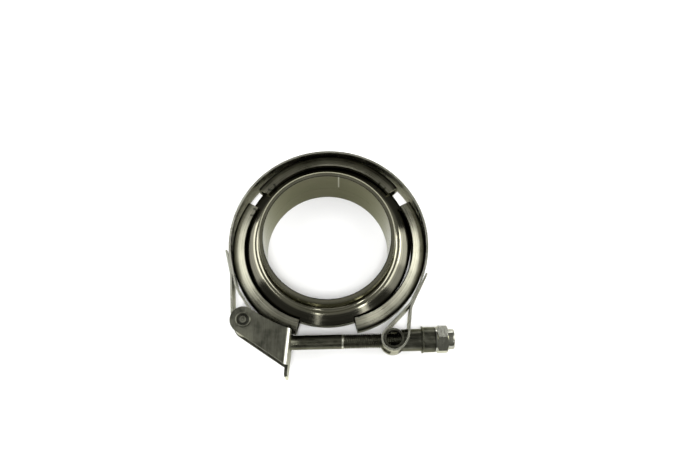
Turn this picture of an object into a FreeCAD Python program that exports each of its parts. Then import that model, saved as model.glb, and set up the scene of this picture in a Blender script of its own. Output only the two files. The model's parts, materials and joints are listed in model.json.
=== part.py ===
import FreeCAD, Part
import os
from math import acos, asin, atan2, cos, degrees, hypot, radians, sin, tan

V = FreeCAD.Vector
UP = V(0, 0, 1)

# A V-band exhaust clamp round its pair of flanges, lying flat and at its loosest.
# Origin: centre of the pipe bore, in the plane where the two flanges meet; +Z is the pipe's axis.
# Angles are in degrees, counterclockwise from +X as seen from above.

# flanges
bore_radius = 31.75          # takes a 2.5 inch pipe
pair_length = 32.0           # from one weld neck's end to the other's
neck_wall = 2.45
neck_outer_chamfer = 0.7
neck_inner_chamfer = 0.4
shoulder_radius = 1.6        # hollow corner between the neck and the cone
rim_radius = 42.5
rim_thickness = 3.0          # each flange, at its edge
rim_chamfer = 0.3
cone_angle = 22.0            # the clamping face, from the plane of the joint
cone_length = 5.7            # radial
register_wall = 5.0          # radial width of the spigot that centres the joint
register_depth = 1.5
register_clearance = 0.1

# retainer segments: formed V channels that draw the two cones together
channel_sheet = 1.4
channel_corner = 0.7         # inside radius where a leg leaves the web
web_play = 1.0               # between the rim and the web when the clamp is tight
leg_reach = 4.6              # how far a leg reaches in past the rim when the clamp is tight
segments = [
    # name, first angle, last angle, angle at which it lies against the strap
    ("v_segment_top", 41.5, 139.5, 90.0),
    ("v_segment_left", 150.5, 250.0, 200.0),
    ("v_segment_right", -71.5, 30.0, -2.0),
]
segment_corner = 2.0         # rounded corners at the ends of the legs

# strap
strap_thickness = 1.0
strap_width = 15.0
band_opening = 4.45          # how far the opened strap stands off a segment's own curve
band_x = 0.7                 # the opened band hangs a little off the pipe's axis
band_y = -1.4
weld_seat = 0.05             # between a segment's back and the strap
cone_seat = 0.05             # between the lowest leg and the cone it rests on
bend_radius = 9.0            # where the strap turns off towards its loops

# trunnion end of the strap, on the right
trunnion_out = 8.37          # from the strap's ring to the trunnion's axis
trunnion_angle = -56.0
trunnion_radius = 4.9
trunnion_wall = 1.05
trunnion_overhang = 0.3      # past the strap's edges
trunnion_loop_play = 0.4
right_leave_angle = -26.0    # where the strap leaves the ring
right_run = 9.5
right_overlap = 8.0          # of the welded end, back along the ring
right_flare_start = 40.0     # heading at which the loop opens out
right_flare_radius = 10.6
right_leg_heading = 84.2

# latch end of the strap, on the left (same measures, seen in a mirror)
latch_pin_out = 7.84         # from the strap's ring to the rivet's axis
latch_pin_angle = 223.09
latch_loop_radius = 5.2      # inside
left_leave_angle = -13.0
left_run = 10.5
left_overlap = 8.6
left_leg_heading = 87.0

# T-bolt
bolt_angle = 1.35            # the bolt rises slightly to the right
shank_radius = 3.6
thread_radius = 3.8
thread_lead_in = 0.9
tip_chamfer = 0.5
head_gap = 4.66              # between the T-head and the latch's web, with the nut slack
head_radius = 3.1
head_length = 12.6
bolt_end = 30.4              # from the trunnion's axis to the bolt's end
shank_end = -25.3            # along the bolt, where the thread starts
hole_clearance = 0.25        # round the bolt in the trunnion, sleeve and collar
slot_play = 0.5              # round the bolt and sleeve in the strap
swing_angle = 22.0           # of the bolt, once the latch is off

# sleeve, collar and lock nut on the bolt
sleeve_radius = 5.5
sleeve_start = 4.2           # from the trunnion's axis
sleeve_length = 9.8
sleeve_slit = 0.35
saddle_seat = 0.05
collar_radius = 6.3
collar_length = 6.8
collar_lip = 0.4
collar_lip_length = 1.0
collar_chamfer = 0.4
nut_flats = 12.7
nut_length = 9.5
nut_seat = 0.05
nut_face_length = 0.7
nut_crown_radius = 5.1
nut_crown_length = 3.4
nut_crown_round = 0.9
nut_chamfer_angle = 30.0
thread_fit = 0.05
insert_radius = 4.5
insert_thickness = 2.2
insert_depth = 0.6           # below the crown's end

# latch: one folded sheet, two cheeks and a web, on a rivet through the strap's loop
latch_sheet = 1.5
latch_side_play = 0.35       # between a cheek and the strap's edge
latch_fold_radius = 1.0      # inside
cheek_end_radius = 6.6
web_along = 23.9             # from the rivet's axis to the web's ring-side corner, along X
web_drop = 4.6               # and along Y, away from the ring
web_lean = 5.5               # the web's slope from the Y axis
web_depth = 17.5             # along the web
cheek_hollow = 1.0           # how far the cheek's ring-side edge curves in
mouth_depth = 3.0            # wide mouth that clears the retainer
mouth_play = 0.45            # beside the retainer's legs
hook_play = 0.6              # beside the bolt in the hook's slot
hook_corner = 4.1            # at the bottom of that slot
tab_length = 4.0
tab_curl_radius = 3.0
tab_curl = 28.0
tab_width = 14.0
tab_corner = 2.0
rivet_radius = 3.1
rivet_hole_clearance = 0.03
rivet_head_radius = 3.8
rivet_head_height = 0.9
rivet_ring_width = 0.8
rivet_groove_depth = 0.35
rivet_button_radius = 2.4
rivet_button_round = 0.3
bush_fit = 0.05
bush_seat = 0.05
bush_end_play = 0.15

# worked out from the sizes above
half_length = pair_length / 2
neck_radius = bore_radius + neck_wall
cone_slope = tan(radians(cone_angle))
web_inner = rim_radius + web_play
web_outer = web_inner + channel_sheet
leg_tip = rim_radius - leg_reach
band_radius = web_outer + weld_seat + band_opening
loop_inner = trunnion_radius + trunnion_loop_play
nut_start = sleeve_start + sleeve_length + collar_length + nut_seat
bolt_way = V(cos(radians(bolt_angle)), sin(radians(bolt_angle)), 0)


def polar(radius, angle, centre=V(0, 0, 0)):
    return centre + V(radius * cos(radians(angle)), radius * sin(radians(angle)), 0)


trunnion_at = polar(band_radius + trunnion_out, trunnion_angle, V(band_x, band_y, 0))
latch_pin_at = polar(band_radius + latch_pin_out, latch_pin_angle, V(band_x, band_y, 0))


def rounded(corners, place=lambda u, v: V(u, v, 0)):
    """A closed face with straight sides; each corner is (u, v) or (u, v, radius)."""
    flat = [V(c[0], c[1], 0) for c in corners]
    radii = [c[2] if len(c) > 2 else 0.0 for c in corners]
    count = len(flat)
    entries, exits, arcs = [], [], []
    for i, corner in enumerate(flat):
        back = (flat[i - 1] - corner).normalize()
        on = (flat[(i + 1) % count] - corner).normalize()
        half = acos(max(-1.0, min(1.0, back.dot(on)))) / 2
        cut = radii[i] / tan(half) if radii[i] else 0.0
        entries.append(corner + back * cut)
        exits.append(corner + on * cut)
        middle = (back + on).normalize() * (radii[i] / sin(half) - radii[i]) if radii[i] else V()
        arcs.append(corner + middle)
    edges = []
    for i in range(count):
        if radii[i]:
            points = [place(p.x, p.y) for p in (entries[i], arcs[i], exits[i])]
            edges.append(Part.Arc(*points).toShape())
        start, end = exits[i], entries[(i + 1) % count]
        if start.distanceToPoint(end) > 1e-6:
            edges.append(Part.makeLine(place(start.x, start.y), place(end.x, end.y)))
    return Part.Face(Part.Wire(edges))


def turned(profile, centre=V(0, 0, 0), first=0.0, last=360.0):
    """Turns a profile of (radius, z[, corner radius]) about a vertical axis through centre."""
    face = rounded(profile, lambda r, z: V(r, 0, z))
    solid = face.revolve(V(0, 0, 0), UP, last - first)
    solid.rotate(V(0, 0, 0), UP, first)
    solid.translate(centre)
    return solid


def rod(radius, start, length, way=bolt_way):
    """A cylinder on the bolt's axis; start is measured from the trunnion's axis."""
    return Part.makeCylinder(radius, length, on_bolt(start, way), way)


def on_bolt(along, way=bolt_way):
    return trunnion_at + way * along + V(0, 0, band_z)


def bolt_turned(profile):
    """Turns a profile of (along the bolt, radius[, corner radius]) about the bolt's axis."""
    across = V(-bolt_way.y, bolt_way.x, 0)
    face = rounded(profile, lambda a, r: on_bolt(a) + across * r)
    return face.revolve(on_bolt(0), bolt_way, 360)


def leg_inner_z(radius):
    """Height of a leg's inner face above the channel's middle, at a radius of the channel."""
    return rim_thickness + (rim_radius - radius) * cone_slope


def band_drop():
    """How far the opened band sinks until its first leg rests on the upper cone."""
    band = V(band_x, band_y, 0)
    drops = []
    for name, first, last, lean in segments:
        own = polar(band_opening, lean, band)
        for step in range(41):
            angle = first + (last - first) * step / 40
            radius = hypot(*polar(leg_tip, own_angle(angle, lean), own)[:2])
            if radius < rim_radius:
                drops.append(leg_inner_z(leg_tip) - leg_inner_z(radius))
    return min(drops) - cone_seat


def own_angle(angle, lean):
    """Angle about a segment's own centre of what lies at angle about the band's centre."""
    swing = band_opening * sin(radians(angle - lean)) / web_outer
    return angle + degrees(asin(swing))


band_z = -band_drop()
band_at = V(band_x, band_y, band_z)


def flange(upper):
    """One weld flange: neck, shoulder, cone and rim, with a spigot or the recess for it."""
    cone_in = rim_radius - cone_length
    cone_top = rim_thickness + cone_length * cone_slope
    spigot = bore_radius + register_wall
    if upper:
        face = [(bore_radius, -register_depth), (spigot - register_clearance, -register_depth),
                (spigot - register_clearance, 0)]
    else:
        depth = register_depth + register_clearance
        face = [(bore_radius, depth), (spigot, depth), (spigot, 0)]
    profile = face + [
        (rim_radius - rim_chamfer, 0),
        (rim_radius, rim_chamfer),
        (rim_radius, rim_thickness - rim_chamfer, rim_chamfer),
        (cone_in, cone_top, shoulder_radius / 2),
        (neck_radius, cone_top, shoulder_radius),
        (neck_radius, half_length - neck_outer_chamfer),
        (neck_radius - neck_outer_chamfer, half_length),
        (bore_radius + neck_inner_chamfer, half_length),
        (bore_radius, half_length - neck_inner_chamfer),
    ]
    if not upper:
        profile = [(c[0], -c[1]) + tuple(c[2:]) for c in profile]
    return turned(profile)


def segment(first, last, lean):
    """One V channel, rolled to its tight radius and lying against the opened strap."""
    rise = channel_sheet / cos(radians(cone_angle))
    out = V(sin(radians(cone_angle)), cos(radians(cone_angle)), 0) * channel_sheet
    upper = [
        (web_inner, leg_inner_z(web_inner), channel_corner),
        (leg_tip, leg_inner_z(leg_tip)),
        (leg_tip + out.x, leg_inner_z(leg_tip) + out.y),
        (web_outer, leg_inner_z(web_outer) + rise, channel_corner + channel_sheet),
    ]
    lower = [(c[0], -c[1]) + tuple(c[2:]) for c in reversed(upper)]
    own = polar(band_opening, lean, band_at)
    start, end = own_angle(first, lean), own_angle(last, lean)
    channel = turned(upper + lower, own, start, end)
    deep = leg_inner_z(leg_tip) + channel_sheet
    for angle, turn in ((start, 1), (end, -1)):
        channel = channel.cut(corner_cutter(own, angle, turn, deep))
    return channel


def corner_cutter(own, angle, turn, deep):
    """Rounds off the free corner of both legs at one end of a segment."""
    face = rounded([(leg_tip - 1, -1), (leg_tip + segment_corner, -1),
                    (leg_tip + segment_corner, 0), (leg_tip, 0), (leg_tip, segment_corner),
                    (leg_tip - 1, segment_corner)])
    block = face.extrude(V(0, 0, 4 * deep))
    round_off = Part.makeCylinder(segment_corner, 4 * deep,
                                  V(leg_tip + segment_corner, segment_corner, 0))
    cutter = block.cut(round_off)
    if turn < 0:
        cutter = cutter.mirror(V(0, 0, 0), V(0, 1, 0))
    cutter.translate(V(0, 0, -2 * deep))
    cutter.rotate(V(0, 0, 0), UP, angle)
    cutter.translate(own)
    return cutter


def heading(angle):
    return V(cos(radians(angle)), sin(radians(angle)), 0)


def left_of(way):
    return V(-way.y, way.x, 0)


def crossing(p, p_way, q, q_way):
    """Where the line through p meets the line through q."""
    side = left_of(q_way)
    return p + p_way * ((q - p).dot(side) / p_way.dot(side))


def run(start, end):
    """A straight stretch of strap, seen from above."""
    side = left_of((end - start).normalize()) * (strap_thickness / 2)
    points = [start + side, end + side, end - side, start - side]
    return Part.Face(Part.makePolygon(points + points[:1]))


def curl(centre, radius, first, last):
    """A curved stretch of strap of that middle radius, from above, first < last."""
    outer, inner = radius + strap_thickness / 2, radius - strap_thickness / 2
    middle = (first + last) / 2
    edges = [
        Part.Arc(*[polar(outer, a, centre) for a in (first, middle, last)]).toShape(),
        Part.makeLine(polar(outer, last, centre), polar(inner, last, centre)),
        Part.Arc(*[polar(inner, a, centre) for a in (last, middle, first)]).toShape(),
        Part.makeLine(polar(inner, first, centre), polar(outer, first, centre)),
    ]
    return Part.Face(Part.Wire(edges))


def angle_of(way):
    return degrees(atan2(way.y, way.x))


def turn_between(corner, way_in, way_out, radius):
    """Rounds the corner between two runs: the curl, and where it starts and ends."""
    bend = (angle_of(way_out) - angle_of(way_in) + 180) % 360 - 180
    cut = radius * tan(radians(abs(bend) / 2))
    start, end = corner - way_in * cut, corner + way_out * cut
    side = 1 if bend > 0 else -1
    centre = start + left_of(way_in) * (radius * side)
    first = angle_of(start - centre)
    span = sorted((first, first + bend))
    return curl(centre, radius, *span), start, end


def loop_end(ring_x, leave, length, overlap, pin, inner, flare_start, flare_radius, leg):
    """One end of the strap: off the ring, round its pin and back, welded onto itself."""
    middle = band_radius + strap_thickness / 2
    ring = V(ring_x, band_y, 0)
    down = heading(leave - 90)
    start = polar(middle, leave, ring)
    corner = start + down * length
    radius = inner + strap_thickness / 2
    to_pin = pin - corner
    across = heading(angle_of(to_pin) - degrees(asin(radius / to_pin.Length)))
    bend, bend_start, bend_end = turn_between(corner, down, across, bend_radius)
    touch = pin - left_of(across) * radius
    loop_first = angle_of(touch - pin)
    loop_last = loop_first + (flare_start - angle_of(across)) % 360
    flare_at = polar(radius, loop_last, pin)
    flare_centre = flare_at + left_of(heading(flare_start)) * flare_radius
    flare_end = polar(flare_radius, leg - 90, flare_centre)
    back_start = start + heading(leave) * strap_thickness
    meet = crossing(flare_end, heading(leg), back_start, down)
    fold, fold_start, fold_end = turn_between(meet, heading(leg), down * -1, bend_radius)
    faces = [run(start, bend_start), bend, run(bend_end, touch),
             curl(pin, radius, loop_first, loop_last)]
    if flare_start < leg:
        faces.append(curl(flare_centre, flare_radius, flare_start - 90, leg - 90))
    faces += [run(flare_end, fold_start), fold, run(fold_end, back_start - down * overlap)]
    return [f.extrude(V(0, 0, strap_width)) for f in faces]


def sector(centre, inner, outer, first, last, height):
    """A wedge of a ring, standing on z = 0."""
    face = rounded([(inner, 0), (outer, 0), (outer, height), (inner, height)],
                   lambda r, z: V(r, 0, z))
    solid = face.revolve(V(0, 0, 0), UP, last - first)
    solid.rotate(V(0, 0, 0), UP, first)
    solid.translate(centre)
    return solid


def strap():
    """The band with both of its loops, slotted where the bolt and sleeve pass."""
    middle = band_radius + strap_thickness / 2
    ring = curl(V(band_x, band_y, 0), middle, right_leave_angle, 180 - left_leave_angle)
    right = loop_end(band_x, right_leave_angle, right_run, right_overlap, trunnion_at,
                     loop_inner, right_flare_start, right_flare_radius, right_leg_heading)
    pin = V(-latch_pin_at.x, latch_pin_at.y, 0)
    left = loop_end(-band_x, left_leave_angle, left_run, left_overlap, pin, latch_loop_radius,
                    left_leg_heading, latch_loop_radius + strap_thickness / 2, left_leg_heading)
    left = [s.mirror(V(0, 0, 0), V(1, 0, 0)) for s in left]
    band = ring.extrude(V(0, 0, strap_width)).multiFuse(right + left).removeSplitter()
    band.translate(V(0, 0, band_z - strap_width / 2))
    return band.cut(bolt_slot()).cut(sleeve_slot())


def bolt_slot():
    """Opening for the bolt in the inner side of the trunnion loop, over the bolt's swing."""
    half = thread_radius + slot_play
    spread = degrees(asin(half / loop_inner))
    outer = loop_inner + 2 * strap_thickness
    toward = 180 + bolt_angle
    slot = sector(trunnion_at, loop_inner - strap_thickness, outer,
                  toward - spread, toward + swing_angle + spread, 2 * half)
    slot.translate(V(0, 0, band_z - half))
    return slot


def sleeve_slot():
    """Opening for the sleeve in the outer leg of the trunnion loop, over the same swing."""
    half = sleeve_radius + slot_play
    start = loop_inner / 2
    block = Part.makeBox(loop_inner + right_flare_radius - start, 2 * half, 2 * half,
                         V(start, -half, band_z - half))
    slots = []
    for step in range(5):
        turned_block = block.copy()
        turned_block.rotate(V(0, 0, 0), UP, bolt_angle + swing_angle * step / 4)
        turned_block.translate(trunnion_at)
        slots.append(turned_block)
    return slots[0].multiFuse(slots[1:])


def trunnion():
    """Hollow cross pin in the strap's right loop, drilled through for the bolt."""
    half = strap_width / 2 + trunnion_overhang
    base = trunnion_at + V(0, 0, band_z - half)
    tube = Part.makeCylinder(trunnion_radius, 2 * half, base)
    tube = tube.cut(Part.makeCylinder(trunnion_radius - trunnion_wall, 2 * half, base))
    return tube.cut(rod(thread_radius + hole_clearance, -trunnion_radius - 1,
                        2 * trunnion_radius + 2))


def head_distance():
    """From the trunnion's axis to the T-head's, which lies a gap behind the latch's web."""
    web = web_frame(-latch_sheet, 0, 0)
    face = crossing(V(web.x, web.y, 0), heading(-90 - web_lean), trunnion_at, bolt_way)
    return (face - trunnion_at).Length + head_radius + head_gap


def t_bolt():
    """T-headed bolt: a round cross-head, a plain shank and the threaded end."""
    head_reach = head_distance()
    body = bolt_turned([
        (-head_reach, 0), (-head_reach, shank_radius),
        (shank_end, shank_radius), (shank_end + thread_lead_in, thread_radius),
        (bolt_end - tip_chamfer, thread_radius), (bolt_end, thread_radius - tip_chamfer),
        (bolt_end, 0),
    ])
    head = Part.makeCylinder(head_radius, head_length,
                             on_bolt(-head_reach) - UP * (head_length / 2))
    return body.fuse(head).removeSplitter()


def sleeve():
    """Rolled spacer between trunnion and collar, with its seam and a saddle end."""
    tube = rod(sleeve_radius, sleeve_start, sleeve_length)
    tube = tube.cut(rod(thread_radius + hole_clearance, sleeve_start, sleeve_length))
    saddle = Part.makeCylinder(trunnion_radius + saddle_seat, strap_width * 2,
                               trunnion_at + V(0, 0, band_z - strap_width))
    slit = Part.makeBox(sleeve_length, sleeve_slit, sleeve_radius,
                        V(0, -sleeve_slit / 2, 0))
    slit.rotate(V(0, 0, 0), UP, bolt_angle)
    slit.translate(on_bolt(sleeve_start))
    return tube.cut(saddle).cut(slit)


def collar():
    """Thick washer with a lip towards the sleeve, under the nut."""
    start = sleeve_start + sleeve_length
    hole = thread_radius + hole_clearance
    return bolt_turned([
        (start, hole), (start, collar_radius + collar_lip),
        (start + collar_lip_length / 2, collar_radius + collar_lip),
        (start + collar_lip_length, collar_radius),
        (start + collar_length - collar_chamfer, collar_radius),
        (start + collar_length, collar_radius - collar_chamfer),
        (start + collar_length, hole),
    ])


def hexagon(start, length):
    points = [V(nut_flats / 2 / cos(radians(30)), 0, 0)]
    for i in range(1, 7):
        points.append(polar(points[0].Length, 60 * i))
    prism = Part.Face(Part.makePolygon(points)).extrude(V(0, 0, length))
    prism.rotate(V(0, 0, 0), V(0, 1, 0), 90)
    prism.rotate(V(0, 0, 0), UP, bolt_angle)
    prism.translate(on_bolt(start))
    return prism


def lock_nut():
    """Hexagon nut with a round crown rolled over a ring of nylon."""
    corner = nut_flats / 2 / cos(radians(30))
    bevel = (corner - nut_flats / 2) * tan(radians(nut_chamfer_angle))
    hex_end = nut_start + nut_length - nut_crown_length
    end = nut_start + nut_length
    face_radius = nut_flats / 2 - thread_fit
    blank = bolt_turned([
        (nut_start, 0), (nut_start, face_radius), (nut_start + nut_face_length, face_radius),
        (nut_start + nut_face_length, face_radius + thread_fit),
        (nut_start + nut_face_length + bevel, corner),
        (hex_end - bevel, corner), (hex_end, nut_flats / 2), (hex_end, nut_crown_radius),
        (end, nut_crown_radius, nut_crown_round), (end, 0),
    ])
    solid = blank.common(hexagon(nut_start - 1, nut_length + 2))
    solid = solid.cut(rod(thread_radius + thread_fit, nut_start - 1, nut_length + 2))
    return solid.cut(rod(insert_radius, end - insert_depth - insert_thickness,
                         insert_thickness))


def nut_insert():
    """Nylon ring in the groove of the nut's crown."""
    start = nut_start + nut_length - insert_depth - insert_thickness
    ring = rod(insert_radius, start, insert_thickness)
    return ring.cut(rod(thread_radius + thread_fit, start, insert_thickness))


def web_frame(out, along, z):
    """A point by its distance out from the web's outer face, along the web and above it."""
    way = heading(-90 - web_lean)
    side = heading(-web_lean)
    corner = latch_pin_at + V(web_along, -web_drop, band_z + z)
    return corner + side * out + way * along


def cheek_outline():
    """Outline of the latch from above: round end, two slanting edges, web and tab root."""
    pin = latch_pin_at
    top = web_frame(0, 0, 0)
    foot = web_frame(0, web_depth, 0)
    foot_in = web_frame(-latch_sheet, web_depth, 0)
    upper = tangent_point(pin, top, 1)
    lower = tangent_point(pin, foot_in, -1)
    mid_upper = (upper + top) * 0.5
    hollow = left_of((top - upper).normalize()) * -cheek_hollow
    far_point = pin - (upper + lower - pin * 2).normalize() * cheek_end_radius
    if (far_point - pin).dot(top - pin) > 0:
        far_point = pin * 2 - far_point
    flat = [V(p.x, p.y, 0) for p in (upper, mid_upper + hollow, top, foot, foot_in, lower,
                                     far_point)]
    edges = [
        Part.Arc(flat[0], flat[1], flat[2]).toShape(),
        Part.makeLine(flat[2], flat[3]),
        Part.makeLine(flat[3], flat[4]),
        Part.makeLine(flat[4], flat[5]),
        Part.Arc(flat[5], flat[6], flat[0]).toShape(),
    ]
    return Part.Face(Part.Wire(edges))


def tangent_point(pin, far, side):
    """Where the line from a far point touches the latch's round end."""
    way = V(far.x - pin.x, far.y - pin.y, 0)
    open_angle = degrees(acos(cheek_end_radius / way.Length))
    return polar(cheek_end_radius, angle_of(way) + side * open_angle, pin)


def latch_plate():
    """The latch: cheeks and web folded from one sheet, hooked over the bolt's T-head."""
    inside = strap_width / 2 + latch_side_play
    outside = inside + latch_sheet
    fold_out = latch_fold_radius + latch_sheet
    reach = 2 * hypot(web_along, web_drop)
    outer = rounded([(-reach, -outside), (0, -outside, fold_out), (0, outside, fold_out),
                     (-reach, outside)], lambda out, z: web_frame(out, -reach / 2, z))
    inner = rounded([(-reach, -inside), (-latch_sheet, -inside, latch_fold_radius),
                     (-latch_sheet, inside, latch_fold_radius), (-reach, inside)],
                    lambda out, z: web_frame(out, -reach / 2, z))
    way = heading(-90 - web_lean) * (2 * reach)
    channel = outer.extrude(way).cut(inner.extrude(way))
    sides = cheek_outline()
    sides.translate(V(0, 0, band_z - 2 * outside))
    plate = channel.common(sides.extrude(V(0, 0, 4 * outside)))
    plate = plate.fuse(tab()).cut(mouth()).removeSplitter()
    hole = Part.makeCylinder(rivet_radius + rivet_hole_clearance, 4 * outside,
                             latch_pin_at + V(0, 0, band_z - 2 * outside))
    return plate.cut(hole)


def mouth():
    """Opening in the web: wide over the retainer, then the slot that hooks the bolt."""
    wide = leg_inner_z(leg_tip) + channel_sheet + mouth_play
    narrow = thread_radius + hook_play
    axis = web_frame(0, 0, 0)
    along_axis = crossing(V(axis.x, axis.y, 0), heading(-90 - web_lean), trunnion_at, bolt_way)
    depth = (along_axis - V(axis.x, axis.y, 0)).Length
    face = rounded([(-1, -wide), (mouth_depth, -wide), (mouth_depth, -narrow),
                    (depth + narrow, -narrow, hook_corner), (depth + narrow, narrow, hook_corner),
                    (mouth_depth, narrow), (mouth_depth, wide), (-1, wide)],
                   lambda along, z: web_frame(-2 * latch_sheet, along, z))
    return face.extrude(heading(-web_lean) * (4 * latch_sheet))


def tab():
    """Finger tab: the web's sheet runs on past the cheeks and curls outwards."""
    half = tab_width / 2
    flat = web_frame(-latch_sheet, web_depth - tab_corner, 0)
    side = heading(-web_lean)
    way = heading(-90 - web_lean)
    straight = Part.Face(Part.makePolygon([
        flat, flat + side * latch_sheet,
        flat + side * latch_sheet + way * (tab_length + tab_corner),
        flat + way * (tab_length + tab_corner), flat]))
    centre = flat + way * (tab_length + tab_corner) + side * (latch_sheet + tab_curl_radius)
    start = angle_of(side * -1)
    radii = (tab_curl_radius, tab_curl_radius + latch_sheet)
    angles = (start, start + tab_curl / 2, start + tab_curl)
    arcs = [[polar(r, a, centre) for a in angles] for r in radii]
    curved = Part.Face(Part.Wire([
        Part.Arc(*arcs[0]).toShape(), Part.makeLine(arcs[0][2], arcs[1][2]),
        Part.Arc(*reversed(arcs[1])).toShape(), Part.makeLine(arcs[1][0], arcs[0][0])]))
    solids = [f.extrude(V(0, 0, tab_width)) for f in (straight, curved)]
    joined = solids[0].fuse(solids[1])
    joined.translate(V(0, 0, -half))
    return joined


def rivet():
    """Pin of the latch, headed over both cheeks; its upper head is dished round a button."""
    grip = strap_width / 2 + latch_side_play + latch_sheet
    top = grip + rivet_head_height
    profile = [
        (0, -top), (rivet_head_radius, -top, rivet_head_height / 2), (rivet_head_radius, -grip),
        (rivet_radius, -grip), (rivet_radius, grip), (rivet_head_radius, grip),
        (rivet_head_radius, top, rivet_head_height / 2),
        (rivet_head_radius - rivet_ring_width, top),
        (rivet_head_radius - rivet_ring_width, top - rivet_groove_depth),
        (rivet_button_radius, top - rivet_groove_depth),
        (rivet_button_radius, top, rivet_button_round), (0, top),
    ]
    return turned(profile, latch_pin_at + V(0, 0, band_z))


def bush():
    """Tube on the rivet, inside the strap's left loop."""
    half = strap_width / 2 + latch_side_play - bush_end_play
    base = latch_pin_at + V(0, 0, band_z - half)
    tube = Part.makeCylinder(latch_loop_radius - bush_seat, 2 * half, base)
    return tube.cut(Part.makeCylinder(rivet_radius + bush_fit, 2 * half, base))


parts = {
    "flange_upper": flange(True),
    "flange_lower": flange(False),
    "strap": strap(),
    "latch_bush": bush(),
    "latch_plate": latch_plate(),
    "latch_rivet": rivet(),
    "trunnion": trunnion(),
    "t_bolt": t_bolt(),
    "sleeve": sleeve(),
    "collar": collar(),
    "lock_nut": lock_nut(),
    "nut_insert": nut_insert(),
}
for name, first, last, lean in segments:
    parts[name] = segment(first, last, lean)

os.makedirs("parts", exist_ok=True)
for name, shape in parts.items():
    shape.exportStep("parts/" + name + ".step")
    print(name, len(shape.Solids), "solid", round(shape.Volume, 1), "mm3", shape.isValid())
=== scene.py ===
import json
import math
import bpy
import numpy as np
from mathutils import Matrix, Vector


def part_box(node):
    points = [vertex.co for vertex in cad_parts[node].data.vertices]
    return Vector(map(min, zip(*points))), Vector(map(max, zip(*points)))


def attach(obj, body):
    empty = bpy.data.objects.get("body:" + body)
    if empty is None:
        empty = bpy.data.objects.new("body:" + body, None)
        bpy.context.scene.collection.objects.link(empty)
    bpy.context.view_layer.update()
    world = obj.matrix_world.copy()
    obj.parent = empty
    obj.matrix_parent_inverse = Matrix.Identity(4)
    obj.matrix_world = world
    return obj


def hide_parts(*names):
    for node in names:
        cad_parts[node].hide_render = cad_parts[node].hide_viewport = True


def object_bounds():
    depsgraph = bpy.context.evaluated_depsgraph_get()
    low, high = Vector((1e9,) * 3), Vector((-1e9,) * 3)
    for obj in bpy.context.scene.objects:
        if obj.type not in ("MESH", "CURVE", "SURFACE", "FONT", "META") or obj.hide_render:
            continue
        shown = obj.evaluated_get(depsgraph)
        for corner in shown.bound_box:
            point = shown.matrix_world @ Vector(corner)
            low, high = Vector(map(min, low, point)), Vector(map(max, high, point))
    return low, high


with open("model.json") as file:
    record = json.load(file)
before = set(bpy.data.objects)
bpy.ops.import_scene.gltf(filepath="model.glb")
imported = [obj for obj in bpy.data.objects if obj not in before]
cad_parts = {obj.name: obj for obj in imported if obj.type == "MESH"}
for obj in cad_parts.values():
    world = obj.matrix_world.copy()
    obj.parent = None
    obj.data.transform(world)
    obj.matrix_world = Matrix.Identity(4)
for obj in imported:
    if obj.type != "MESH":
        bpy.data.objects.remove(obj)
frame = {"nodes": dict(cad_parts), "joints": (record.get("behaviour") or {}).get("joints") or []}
nodes = frame["nodes"]
cadBox = [list(corner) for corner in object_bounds()]
print("frame loaded:", len(nodes), "nodes")


def jointNamed(name):
    return next(joint for joint in frame["joints"] if joint["name"] == name)


# the bolt's axis runs through the trunnion, along the way that the bolt slides
trunnionAt = np.array(jointNamed("trunnion_swing")["pos_m"])
boltWay = np.array(jointNamed("bolt_slide")["axis"])
boltWay = boltWay / np.linalg.norm(boltWay)
rivetAt = np.array(jointNamed("latch_swing")["pos_m"])
up = np.array([0.0, 0.0, 1.0])
boltSide = np.cross(up, boltWay)


camera = {
    "distance": 0.4296,
    "elevation": 75.0,
    "lens": 44.6,
    "shiftX": 0.0012,
    "shiftY": 0.054,
    "aim": (0.0061, -0.0098, 0.0),
    "nearest": 0.01,
    "farthest": 20.0,
}


def makeCamera():
    data = bpy.data.cameras.new("camera")
    data.lens = camera["lens"]
    data.shift_x = camera["shiftX"]
    data.shift_y = camera["shiftY"]
    data.clip_start = camera["nearest"]
    data.clip_end = camera["farthest"]
    eye = bpy.data.objects.new("camera", data)
    angle = math.radians(camera["elevation"])
    back = Vector((0, -math.cos(angle), math.sin(angle)))
    eye.location = Vector(camera["aim"]) + back * camera["distance"]
    eye.rotation_mode = "QUATERNION"
    eye.rotation_quaternion = (-back).to_track_quat("-Z", "Y")
    bpy.context.scene.collection.objects.link(eye)
    bpy.context.scene.camera = eye


floor = {"half": 3.0, "drop": 0.0002, "colour": (0.97, 0.97, 0.97, 1), "roughness": 0.9, "specular": 0.1}


def makeFloor():
    level = cadBox[0][2] - floor["drop"]
    half = floor["half"]
    mesh = bpy.data.meshes.new("floor")
    corners = [(-half, -half, level), (half, -half, level), (half, half, level), (-half, half, level)]
    mesh.from_pydata(corners, [], [(0, 1, 2, 3)])
    ground = bpy.data.objects.new("floor", mesh)
    paint = bpy.data.materials.new("paleFloor")
    paint.use_nodes = True
    shader = paint.node_tree.nodes["Principled BSDF"]
    shader.inputs["Base Color"].default_value = floor["colour"]
    shader.inputs["Roughness"].default_value = floor["roughness"]
    shader.inputs["Specular IOR Level"].default_value = floor["specular"]
    mesh.materials.append(paint)
    bpy.context.scene.collection.objects.link(ground)


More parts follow.
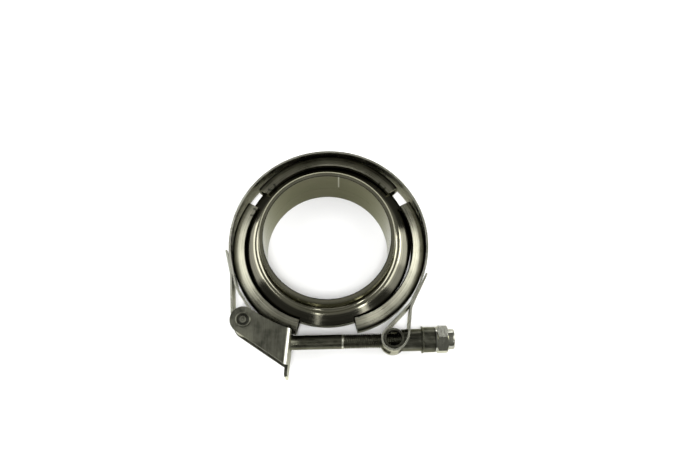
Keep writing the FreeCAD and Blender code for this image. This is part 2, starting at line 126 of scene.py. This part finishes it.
# where glints is False the lamp is hidden from reflections: it lights what is matt,
# and leaves no glint on the steel
lamps = {
    "leftWindow": {"place": (-0.62, 0.14, 0.62), "size": (0.60, 0.80), "strength": 5.6, "glints": True},
    "rightWindow": {"place": (0.64, 0.06, 0.62), "size": (0.60, 0.80), "strength": 4.8, "glints": True},
    "overhead": {"place": (0.00, -0.42, 1.45), "size": (0.30, 0.30), "strength": 13.5, "glints": False},
    "foldCard": {"place": (0.84, 0.24, 0.42), "size": (0.40, 0.50), "strength": 2.6, "glints": True},
    "farCard": {"place": (0.10, 0.95, 0.20), "size": (0.40, 0.24), "strength": 1.2, "glints": True},
    "nearStripLeft": {"place": (-0.12, -0.62, 0.72), "size": (0.035, 0.40), "strength": 0.34, "glints": True},
    "nearStripRight": {"place": (0.42, -0.52, 0.70), "size": (0.07, 0.40), "strength": 0.95, "glints": True},
}


def makeLamps():
    for name, values in lamps.items():
        data = bpy.data.lights.new(name, "AREA")
        data.shape = "RECTANGLE"
        data.size, data.size_y = values["size"]
        data.energy = values["strength"]
        lamp = bpy.data.objects.new(name, data)
        lamp.location = values["place"]
        lamp.rotation_mode = "QUATERNION"
        lamp.rotation_quaternion = (-Vector(values["place"])).to_track_quat("-Z", "Y")
        lamp.visible_glossy = values["glints"]
        bpy.context.scene.collection.objects.link(lamp)


def link(tree, source, target):
    tree.links.new(source, target)


room = {"low": (0.20, 0.20, 0.18, 1), "high": (0.30, 0.30, 0.28, 1), "strength": 1.0}


def makeRoom():
    world = bpy.data.worlds.new("studio")
    bpy.context.scene.world = world
    world.use_nodes = True
    tree = world.node_tree
    glow = tree.nodes["Background"]
    glow.inputs["Strength"].default_value = room["strength"]
    where = tree.nodes.new("ShaderNodeTexCoord")
    split = tree.nodes.new("ShaderNodeSeparateXYZ")
    ramp = tree.nodes.new("ShaderNodeValToRGB")
    ramp.color_ramp.elements[0].color = room["low"]
    ramp.color_ramp.elements[1].color = room["high"]
    link(tree, where.outputs["Generated"], split.inputs["Vector"])
    link(tree, split.outputs["Z"], ramp.inputs["Fac"])
    link(tree, ramp.outputs["Color"], glow.inputs["Color"])
    bpy.context.scene.view_settings.view_transform = "Standard"


makeCamera()
makeFloor()
makeLamps()
makeRoom()
print("studio ready")


def mathNode(tree, operation, *values):
    node = tree.nodes.new("ShaderNodeMath")
    node.operation = operation
    for socket, value in zip(node.inputs, values):
        if isinstance(value, (int, float)):
            socket.default_value = value
        else:
            link(tree, value, socket)
    return node.outputs[0]


# noise stays mostly between low and high, so colour and roughness are spread over that
noise = {"fineDetail": 4.0, "cloudDetail": 3.0, "rough": 0.55, "low": 0.30, "middle": 0.50, "high": 0.70}


def noiseNode(tree, vector, scale, detail):
    node = tree.nodes.new("ShaderNodeTexNoise")
    node.inputs["Scale"].default_value = scale
    node.inputs["Detail"].default_value = detail
    node.inputs["Roughness"].default_value = noise["rough"]
    link(tree, vector, node.inputs["Vector"])
    return node.outputs["Fac"]


def rampNode(tree, source, stops):
    node = tree.nodes.new("ShaderNodeValToRGB")
    edge = node.color_ramp
    while len(edge.elements) < len(stops):
        edge.elements.new(0.5)
    for element, (place, colour) in zip(edge.elements, stops):
        element.position = place
        element.color = (*colour, 1)
    link(tree, source, node.inputs["Fac"])
    return node.outputs["Color"]


def placeFrom(tree, centre):
    # the piece's own coordinates, counted from a centre
    where = tree.nodes.new("ShaderNodeTexCoord").outputs["Object"]
    shift = tree.nodes.new("ShaderNodeMapping")
    shift.inputs["Location"].default_value = [-c for c in centre]
    link(tree, where, shift.inputs["Vector"])
    split = tree.nodes.new("ShaderNodeSeparateXYZ")
    link(tree, shift.outputs["Vector"], split.inputs["Vector"])
    return split.outputs["X"], split.outputs["Y"], split.outputs["Z"]


def hypotNode(tree, first, second):
    # the root of the sum of the two squares
    squares = mathNode(tree, "ADD", mathNode(tree, "MULTIPLY", first, first),
                       mathNode(tree, "MULTIPLY", second, second))
    return mathNode(tree, "SQRT", squares)


def radiusFrom(tree, centre):
    # distance from an upright axis through the centre
    x, y, _ = placeFrom(tree, centre)
    return hypotNode(tree, x, y)


rampReach = 0.06


def paintShadeBands(tree, colour, finish):
    # painted shade and painted highlight bands that follow the ring: a ramp over the radius, as far as the
    # reach
    stops = [(radius / rampReach, (share, share, share)) for radius, share in finish["paintedShadeBands"]]
    reach = mathNode(tree, "DIVIDE", radiusFrom(tree, finish.get("centre", (0, 0, 0))), rampReach)
    blend = tree.nodes.new("ShaderNodeMix")
    blend.data_type = "RGBA"
    blend.blend_type = "MULTIPLY"
    blend.inputs["Factor"].default_value = 1.0
    link(tree, colour, blend.inputs["A"])
    link(tree, rampNode(tree, reach, stops), blend.inputs["B"])
    return blend.outputs["Result"]


def nearness(tree, value, target, width):
    # one where the value equals the target, falling straight to nought a width away
    away = mathNode(tree, "ABSOLUTE", mathNode(tree, "SUBTRACT", value, target))
    share = mathNode(tree, "SUBTRACT", 1.0, mathNode(tree, "DIVIDE", away, width))
    return mathNode(tree, "MAXIMUM", share, 0.0)


def creaseShadeMask(tree, finish):
    # painted shade at each crease, which is part of a small circle: near its rim, and on the side that faces
    # the ring's middle
    crease = finish["creaseShade"]
    total = None
    for angle in crease["angles"]:
        way = (math.cos(math.radians(angle)), math.sin(math.radians(angle)))
        centre = [crease["out"] * c for c in way] + [0]
        rim = nearness(tree, radiusFrom(tree, centre), crease["radius"], crease["width"])
        inner = mathNode(tree, "LESS_THAN", radiusFrom(tree, (0, 0, 0)), crease["out"] + crease["spill"])
        one = mathNode(tree, "MULTIPLY", rim, inner)
        total = one if total is None else mathNode(tree, "ADD", total, one)
    return mathNode(tree, "MINIMUM", total, 1.0)


def seamMask(tree, finish):
    # a narrow upright line down the tube's inside wall, on its +Y side and in the upper flange only
    x, y, z = placeFrom(tree, (0, 0, 0))
    line = nearness(tree, x, finish["seam"]["across"], finish["seam"]["width"])
    back = mathNode(tree, "GREATER_THAN", y, 0.0)
    inside = mathNode(tree, "LESS_THAN", radiusFrom(tree, (0, 0, 0)), finish["seam"]["within"])
    high = mathNode(tree, "GREATER_THAN", z, finish["seam"]["above"])
    ends = mathNode(tree, "MULTIPLY", back, high)
    return mathNode(tree, "MULTIPLY", mathNode(tree, "MULTIPLY", line, ends), inside)


def weldMask(tree, finish):
    # spot welds: the angle round the ring is cut into cells, and each has a small ring round its middle,
    # at the band's mid height
    weld = finish["welds"]
    x, y, z = placeFrom(tree, finish["centre"])
    angle = mathNode(tree, "ARCTAN2", y, x)
    step = math.radians(weld["step"])
    cells = mathNode(tree, "ADD", mathNode(tree, "DIVIDE", angle, step), weld["shift"])
    cell = mathNode(tree, "FRACT", cells)
    along = mathNode(tree, "MULTIPLY", mathNode(tree, "SUBTRACT", cell, 0.5), step * weld["reach"])
    above = mathNode(tree, "SUBTRACT", z, float(rivetAt[2]))
    return nearness(tree, hypotNode(tree, along, above), weld["radius"], weld["width"])


def facingHighlightMask(tree, finish):
    # a painted highlight where the surface faces a chosen way of its own piece: the cosine between the two,
    # near a target
    normal = tree.nodes.new("ShaderNodeTexCoord").outputs["Normal"]
    facing = tree.nodes.new("ShaderNodeVectorMath")
    facing.operation = "DOT_PRODUCT"
    link(tree, normal, facing.inputs[0])
    facing.inputs[1].default_value = finish["facingHighlight"]["way"]
    return nearness(tree, facing.outputs["Value"], finish["facingHighlight"]["cosine"], finish["facingHighlight"]["width"])


def stepHighlightMask(tree, finish):
    # a painted highlight: a bright ring on the turned step where the thread starts, at one place along the
    # bar
    x, _, _ = placeFrom(tree, (0, 0, 0))
    return nearness(tree, x, finish["step"]["at"], finish["step"]["width"])


def marked(tree, colour, mask, markColour):
    # lays a mark's colour over the finish, as far as the mask says; some marks are painted highlights and
    # painted shade
    blend = tree.nodes.new("ShaderNodeMix")
    blend.data_type = "RGBA"
    link(tree, mask, blend.inputs["Factor"])
    link(tree, colour, blend.inputs["A"])
    blend.inputs["B"].default_value = (*markColour, 1)
    return blend.outputs["Result"]


def grainVector(tree, finish):
    # rings vary with radius and height alone; lines are stretched along the way the sheet was rolled
    where = tree.nodes.new("ShaderNodeTexCoord").outputs["Object"]
    if finish["grain"] == "rings":
        x, y, z = placeFrom(tree, finish.get("centre", (0, 0, 0)))
        joined = tree.nodes.new("ShaderNodeCombineXYZ")
        link(tree, hypotNode(tree, x, y), joined.inputs["X"])
        link(tree, z, joined.inputs["Y"])
        return joined.outputs["Vector"], where
    stretch = tree.nodes.new("ShaderNodeMapping")
    stretch.inputs["Scale"].default_value = finish["stretch"]
    link(tree, where, stretch.inputs["Vector"])
    return stretch.outputs["Vector"], where


# marks, real ones and painted highlights and shade, are laid over the finish in this order
masks = {"facingHighlight": facingHighlightMask, "step": stepHighlightMask, "welds": weldMask, "creaseShade": creaseShadeMask, "seam": seamMask}
tintOfEdges = (0.74, 0.74, 0.60, 1)
bumpHeight = 0.0001


def steelFinish(name, finish):
    # colour and roughness follow a fine grain mixed with broad clouds, and the grain also makes the bumps
    paint = bpy.data.materials.new(name)
    paint.use_nodes = True
    tree = paint.node_tree
    shader = tree.nodes["Principled BSDF"]
    shader.inputs["Metallic"].default_value = finish.get("metallic", 1.0)
    shader.inputs["Specular Tint"].default_value = tintOfEdges
    grain, where = grainVector(tree, finish)
    fine = noiseNode(tree, grain, finish["fineScale"], noise["fineDetail"])
    cloud = noiseNode(tree, where, finish["cloudScale"], noise["cloudDetail"])
    mixed = mathNode(tree, "ADD", mathNode(tree, "MULTIPLY", fine, finish["fineShare"]),
                     mathNode(tree, "MULTIPLY", cloud, 1 - finish["fineShare"]))
    colour = rampNode(tree, mixed, [(noise["low"], finish["dark"]), (noise["middle"], finish["mid"]),
                                    (noise["high"], finish["light"])])
    # painted shade and painted highlight bands over the radius
    if "paintedShadeBands" in finish:
        colour = paintShadeBands(tree, colour, finish)
    # marks next: welds and seam, and the painted highlights and painted shade
    for mark, makeMask in masks.items():
        if mark in finish:
            colour = marked(tree, colour, makeMask(tree, finish), finish[mark]["colour"])
    link(tree, colour, shader.inputs["Base Color"])
    low, high = finish["roughness"]
    spread = tree.nodes.new("ShaderNodeMapRange")
    spread.inputs["From Min"].default_value = noise["low"]
    spread.inputs["From Max"].default_value = noise["high"]
    spread.inputs["To Min"].default_value = low
    spread.inputs["To Max"].default_value = high
    link(tree, mixed, spread.inputs["Value"])
    link(tree, spread.outputs["Result"], shader.inputs["Roughness"])
    bump = tree.nodes.new("ShaderNodeBump")
    bump.inputs["Strength"].default_value = finish["bump"]
    bump.inputs["Distance"].default_value = bumpHeight
    link(tree, fine, bump.inputs["Height"])
    link(tree, bump.outputs["Normal"], shader.inputs["Normal"])
    return paint


finishes = {
    "strapSteel": {"grain": "rings", "centre": (0.0007, -0.0014, 0), "fineScale": 2600, "cloudScale": 90,
                   "fineShare": 0.4, "dark": (0.20, 0.20, 0.16), "mid": (0.31, 0.30, 0.25),
                   "light": (0.40, 0.40, 0.33), "roughness": (0.20, 0.36), "bump": 0.25,
                   # painted highlight: faces that look upwards are made lighter
                   "facingHighlight": {"way": (0, 0, 1), "cosine": 1.0, "width": 0.30, "colour": (0.48, 0.48, 0.41)},
                   "welds": {"step": 30.0, "shift": 10.5, "reach": 0.0492, "radius": 0.0015, "width": 0.0011,
                             "colour": (0.17, 0.15, 0.12)}},
    "flangeSteel": {"grain": "rings", "fineScale": 2200, "cloudScale": 60, "fineShare": 0.6,
                    "dark": (0.20, 0.20, 0.15), "mid": (0.31, 0.30, 0.23), "light": (0.40, 0.38, 0.31),
                    "roughness": (0.07, 0.16), "bump": 0.18,
                    # painted shade: the bore wall and the band under the channels' legs are darkened, and the
                    # bands left at full strength stand for where the light falls
                    "paintedShadeBands": [(0.0300, 0.24), (0.0319, 0.24), (0.0321, 1.0), (0.0336, 1.0), (0.0342, 0.60),
                             (0.0360, 1.0), (0.0370, 0.90), (0.0378, 0.22), (0.0420, 0.13)],
                    "seam": {"across": 0.0058, "width": 0.0005, "within": 0.0328, "above": 0.001,
                             "colour": (0.42, 0.42, 0.37)}},
    "latchSteel": {"grain": "lines", "stretch": (12, 1, 1), "fineScale": 160, "cloudScale": 120,
                   "fineShare": 0.28, "dark": (0.04, 0.04, 0.033), "mid": (0.12, 0.12, 0.095),
                   "light": (0.18, 0.18, 0.14), "roughness": (0.26, 0.40), "bump": 0.3,
                   # painted highlight on the faces turned towards +X, strongest at the fold's rounding
                   "facingHighlight": {"way": (1, 0, 0), "cosine": 0.55, "width": 0.55,
                               "colour": (0.70, 0.70, 0.60)}},
    "rivetSteel": {"grain": "rings", "centre": tuple(rivetAt), "fineScale": 2400, "cloudScale": 300,
                   "fineShare": 0.5, "dark": (0.08, 0.08, 0.065), "mid": (0.14, 0.14, 0.11),
                   "light": (0.24, 0.24, 0.195), "roughness": (0.22, 0.38), "bump": 0.25,
                   # painted shade: a dark ring in the groove round the rivet's button
                   "paintedShadeBands": [(0.0014, 1.0), (0.0019, 0.22), (0.0028, 0.25), (0.0032, 1.0)]},
    "boltSteel": {"grain": "lines", "stretch": (1, 10, 10), "fineScale": 130, "cloudScale": 160,
                  "fineShare": 0.5, "dark": (0.045, 0.045, 0.033), "mid": (0.08, 0.08, 0.06),
                  "light": (0.13, 0.13, 0.10), "roughness": (0.22, 0.38), "bump": 0.25,
                  # painted highlight: a bright ring where the thread starts
                  "step": {"at": 0.0078, "width": 0.0007, "colour": (0.55, 0.55, 0.46)}},
    "trunnionSteel": {"grain": "lines", "stretch": (1, 8, 8), "fineScale": 150, "cloudScale": 220,
                      "fineShare": 0.4, "dark": (0.03, 0.03, 0.023), "mid": (0.065, 0.065, 0.05),
                      "light": (0.12, 0.12, 0.095), "roughness": (0.26, 0.42), "bump": 0.3},
    "nutSteel": {"grain": "lines", "stretch": (8, 1, 1), "fineScale": 150, "cloudScale": 200,
                 "fineShare": 0.4, "dark": (0.23, 0.23, 0.20), "mid": (0.32, 0.32, 0.28),
                 "light": (0.42, 0.42, 0.37), "roughness": (0.08, 0.18), "bump": 0.2},
    "insertNylon": {"grain": "lines", "stretch": (1, 1, 1), "fineScale": 400, "cloudScale": 200,
                    "fineShare": 0.5, "dark": (0.38, 0.37, 0.30), "mid": (0.45, 0.43, 0.35),
                    "light": (0.50, 0.48, 0.40), "roughness": (0.45, 0.60), "bump": 0.2, "metallic": 0.0},
}
channelSteel = {
    "grain": "rings", "fineScale": 1500, "cloudScale": 110, "fineShare": 0.60,
    "dark": (0.11, 0.105, 0.075), "mid": (0.26, 0.255, 0.20), "light": (0.40, 0.39, 0.31),
    "roughness": (0.22, 0.38), "bump": 0.55,
    # painted shade and painted highlight: darker towards the strap and towards the legs' inner edge, with a
    # lighter band between where the light falls
    "paintedShadeBands": [(0.0350, 0.60), (0.0372, 0.50), (0.0395, 0.85), (0.0412, 0.80), (0.0432, 0.45), (0.0440, 0.18)],
}
# painted shade: a near-black line at the creases by each channel's ends
creaseShadeShape = {
    "out": 0.0415, "radius": 0.0019, "width": 0.0008, "spill": 0.0006, "colour": (0.05, 0.05, 0.04),
}
# each channel was bent about its own centre, and hangs loose of the flanges
channels = {
    "Top": {"centre": (0.0007, 0.00305, 0), "ends": (47.0, 134.0)},
    "Left": {"centre": (-0.00348, -0.00292, 0), "ends": (157.0, 243.5)},
    "Right": {"centre": (0.005147, -0.001555, 0), "ends": (-65.0, 23.5)},
}
for side, channel in channels.items():
    creaseShade = {**creaseShadeShape, "angles": channel["ends"]}
    finishes["channelSteel" + side] = {**channelSteel, "centre": channel["centre"], "creaseShade": creaseShade}
wears = {
    "strap": "strapSteel", "v_segment_top": "channelSteelTop", "v_segment_left": "channelSteelLeft",
    "v_segment_right": "channelSteelRight", "flange_upper": "flangeSteel", "flange_lower": "flangeSteel",
    "latch_bush": "rivetSteel", "latch_plate": "latchSteel", "latch_rivet": "rivetSteel",
    "trunnion": "trunnionSteel", "sleeve": "trunnionSteel", "collar": "trunnionSteel",
    "lock_nut": "nutSteel", "nut_insert": "insertNylon",
}
paints = {name: steelFinish(name, finish) for name, finish in finishes.items()}
for node, finish in wears.items():
    nodes[node].data.materials.clear()
    nodes[node].data.materials.append(paints[finish])
print("finishes made:", len(paints))


def gridMesh(points):
    # points is rows x columns x 3; neighbouring rows are joined by quads, and the columns close on themselves
    rows, columns = points.shape[:2]
    row = np.arange(rows - 1)[:, None]
    column = np.arange(columns)[None, :]
    following = (column + 1) % columns
    faces = np.stack([row * columns + column, (row + 1) * columns + column,
                      (row + 1) * columns + following, row * columns + following], axis=-1).reshape(-1, 4)
    return points.reshape(-1, 3), faces


def addPiece(name, points, faces, finish, body):
    mesh = bpy.data.meshes.new(name)
    mesh.from_pydata(points.tolist(), [], faces)
    mesh.polygons.foreach_set("use_smooth", np.ones(len(mesh.polygons), dtype=bool))
    mesh.materials.append(paints[finish])
    piece = bpy.data.objects.new(name, mesh)
    bpy.context.scene.collection.objects.link(piece)
    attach(piece, body)
    return piece


bolt = {
    "shankRadius": 0.0036,
    "crestRadius": 0.0038,
    "rootRadius": 0.0032,
    "pitch": 0.0254 / 24,
    "threadStart": -0.0253,
    "end": 0.0304,
    "tipChamfer": 0.0005,
    "headRadius": 0.0031,
    "headLength": 0.0126,
    "headRound": 0.0004,
    "headBends": 5,
    "crestShare": 0.125,
    "rootShare": 0.25,
    "around": 72,
    "perPitch": 18,
}


def threadProfile(phase):
    # a V thread, by the distance from the nearest crest in pitches: flat crest, flat root, straight flanks
    away = np.abs(phase - np.round(phase))
    crestEdge = bolt["crestShare"] / 2
    rootEdge = (1 - bolt["rootShare"]) / 2
    return 1 - np.clip((away - crestEdge) / (rootEdge - crestEdge), 0, 1)


def headDistance():
    # from the trunnion's axis to the cross-head's, read from where the solid's box ends
    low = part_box("t_bolt")[0]
    return (trunnionAt[0] - bolt["headRadius"] - low[0]) / boltWay[0]


def endCaps(first, count):
    # the first and the last ring of a grid's vertices, each closed by one face that looks outwards
    last = first + count - bolt["around"]
    firstRing = range(first, first + bolt["around"])
    lastRing = range(last, first + count)
    return [list(firstRing)[::-1], list(lastRing)]


def shankGrid(angle, headReach):
    # radius is a function of the distance along the axis and the angle round it: plain on the shank,
    # and on the thread the root plus the profile at a phase that advances one pitch a turn
    start, end, pitch = bolt["threadStart"], bolt["end"], bolt["pitch"]
    count = int(round((end - start) / (pitch / bolt["perPitch"])))
    plain = [-headReach, (start - headReach) / 2]
    along = np.concatenate([plain, np.linspace(start, end, count + 1)])
    grid, turn = np.meshgrid(along, angle, indexing="ij")
    profile = threadProfile(grid / pitch - turn / (2 * math.pi))
    threaded = bolt["rootRadius"] + (bolt["crestRadius"] - bolt["rootRadius"]) * profile
    leadIn = np.clip((grid - start) / pitch, 0, 1)
    radius = bolt["shankRadius"] * (1 - leadIn) + threaded * leadIn
    chamfered = bolt["crestRadius"] - np.clip(bolt["tipChamfer"] - (end - grid), 0, None)
    radius = np.minimum(radius, chamfered)
    radius[:len(plain)] = bolt["shankRadius"]  # the two rows before the thread starts
    return (trunnionAt + grid[..., None] * boltWay
            + radius[..., None] * (np.cos(turn)[..., None] * boltSide + np.sin(turn)[..., None] * up))


def headGrid(angle, headReach):
    # the cross-head is a bar with its ends rounded over: the lower end's outline is a quarter circle,
    # and the upper end mirrors it
    half, edge = bolt["headLength"] / 2, bolt["headRound"]
    bend = np.linspace(0, math.pi / 2, bolt["headBends"])
    across = bolt["headRadius"] - edge + edge * np.sin(bend)
    lower = np.stack([across, -half + edge - edge * np.cos(bend)], -1)
    outline = np.concatenate([lower, lower[::-1] * [1, -1]])
    centre = trunnionAt - boltWay * headReach
    return (centre + outline[:, None, :1] * (np.cos(angle)[None, :, None] * boltWay
                                             + np.sin(angle)[None, :, None] * boltSide)
            + outline[:, None, 1:] * up)


def makeBolt():
    headReach = headDistance()
    angle = np.arange(bolt["around"]) / bolt["around"] * 2 * math.pi
    shank, shankFaces = gridMesh(shankGrid(angle, headReach))
    head, headFaces = gridMesh(headGrid(angle, headReach))
    headFaces = headFaces[:, ::-1] + len(shank)
    caps = endCaps(0, len(shank)) + endCaps(len(shank), len(head))
    faces = shankFaces.tolist() + headFaces.tolist() + caps
    piece = addPiece("threadedBolt", np.concatenate([shank, head]), faces, "boltSteel", "bolt")
    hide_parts("t_bolt")


makeBolt()
print("bolt made")
